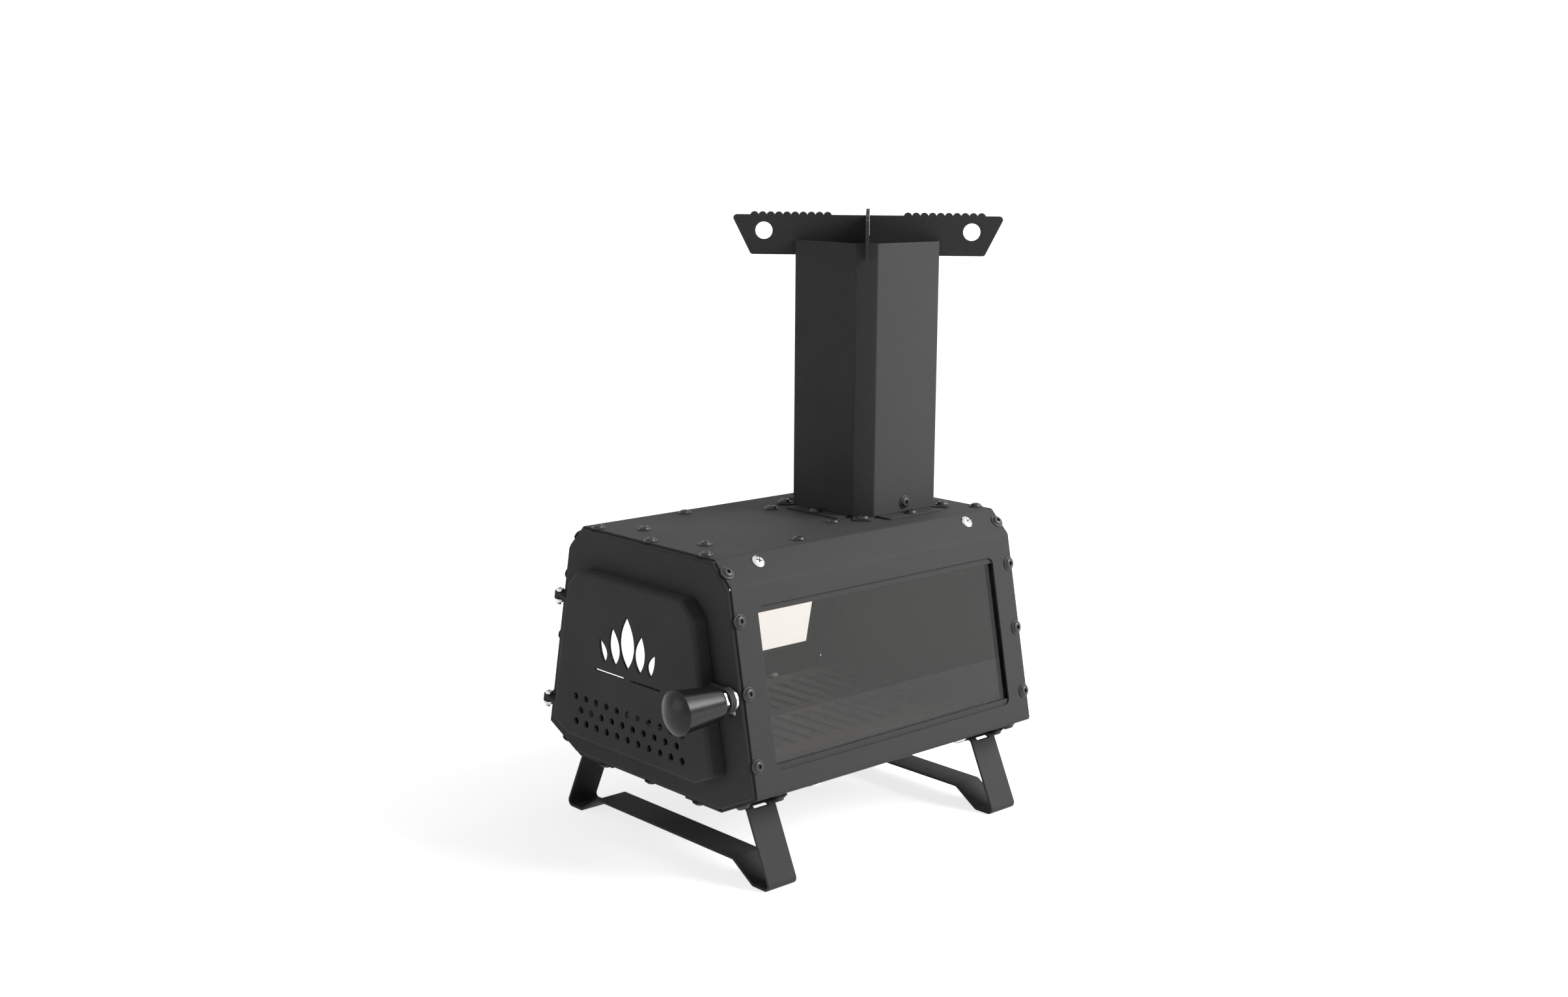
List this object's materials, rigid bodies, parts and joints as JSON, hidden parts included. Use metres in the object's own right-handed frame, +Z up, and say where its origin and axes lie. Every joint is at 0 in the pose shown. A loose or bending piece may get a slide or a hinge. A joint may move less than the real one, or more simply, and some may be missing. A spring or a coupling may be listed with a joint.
{
  "type": "camping wood stove",
  "caption": "Small free-standing camping wood stove: octagonal steel fire box with glass sides, hinged front door, bent strip legs, square chimney and a crossed pot support on top.",
  "frame": {"origin": "on the ground under the middle of the whole stove, knob and pot support included", "axes": "+Z up the chimney, -Y out of the door, +X to the latch side"},
  "size_m": [0.2692, 0.39, 0.5153],
  "materials": {
    "powder_coat": "matte",
    "glass": "clear heat-resistant glass",
    "black_screw": "satin black oxide",
    "bright_steel": "bright zinc plate",
    "bakelite": "polished"
  },
  "bodies": {
    "stove_body": {"body_shell": "powder_coat", "chimney_collar": "powder_coat", "chimney_side_nuts": "bright_steel", "chimney_side_screws": "black_screw", "chimney_tube": "powder_coat", "collar_nuts": "bright_steel", "collar_screws": "black_screw", "fire_grate": "powder_coat", "floor_plate": "powder_coat", "front_plate": "powder_coat", "front_plate_nuts": "bright_steel", "front_plate_screws": "black_screw", "glass_clip_lower_left": "powder_coat", "glass_clip_lower_right": "powder_coat", "glass_clip_upper_left": "powder_coat", "glass_clip_upper_right": "powder_coat", "hinge_bolts": "bright_steel", "hinge_nuts": "bright_steel", "hob_nuts": "bright_steel", "hob_plate": "powder_coat", "hob_screws": "black_screw", "leg_frame_front": "powder_coat", "leg_frame_rear": "powder_coat", "leg_nuts": "bright_steel", "leg_screws": "black_screw", "rear_plate": "powder_coat", "rear_plate_nuts": "bright_steel", "rear_plate_screws": "black_screw", "window_glass_left": "glass", "window_glass_right": "glass", "window_lower_nuts": "bright_steel", "window_lower_screws": "bright_steel", "window_rail_lower_left": "powder_coat", "window_rail_lower_right": "powder_coat", "window_rail_upper_left": "powder_coat", "window_rail_upper_right": "powder_coat", "window_upper_nuts": "bright_steel", "window_upper_screws": "bright_steel"},
    "door": {"door_panel": "powder_coat", "latch_boss": "powder_coat"},
    "latch": {"latch_knob": "bakelite", "latch_nut": "bright_steel", "latch_washer": "bright_steel", "latch_spindle": "bright_steel", "latch_tongue": "bright_steel", "latch_screw": "bright_steel"},
    "lower_blade": {"lower_blade": "powder_coat"},
    "upper_blade": {"upper_blade": "powder_coat"}
  },
  "joints": [
    {"name": "door_swing", "type": "hinge", "parent": "stove_body", "child": "door", "pos_m": [-0.10438, -0.14137, 0.19915], "axis": [-0.1926, 0, -0.9813], "range_deg": [0, 175]},
    {"name": "latch_turn", "type": "hinge", "parent": "door", "child": "latch", "pos_m": [0.10798, -0.13437, 0.1545], "axis": [0, 1, 0], "range_deg": [0, 90]},
    {"name": "lower_blade_lift", "type": "slide", "parent": "stove_body", "child": "lower_blade", "axis": [0, 0, 1], "range_m": [0, 0.06]},
    {"name": "upper_blade_lift", "type": "slide", "parent": "lower_blade", "child": "upper_blade", "axis": [0, 0, 1], "range_m": [0, 0.06]}
  ]
}
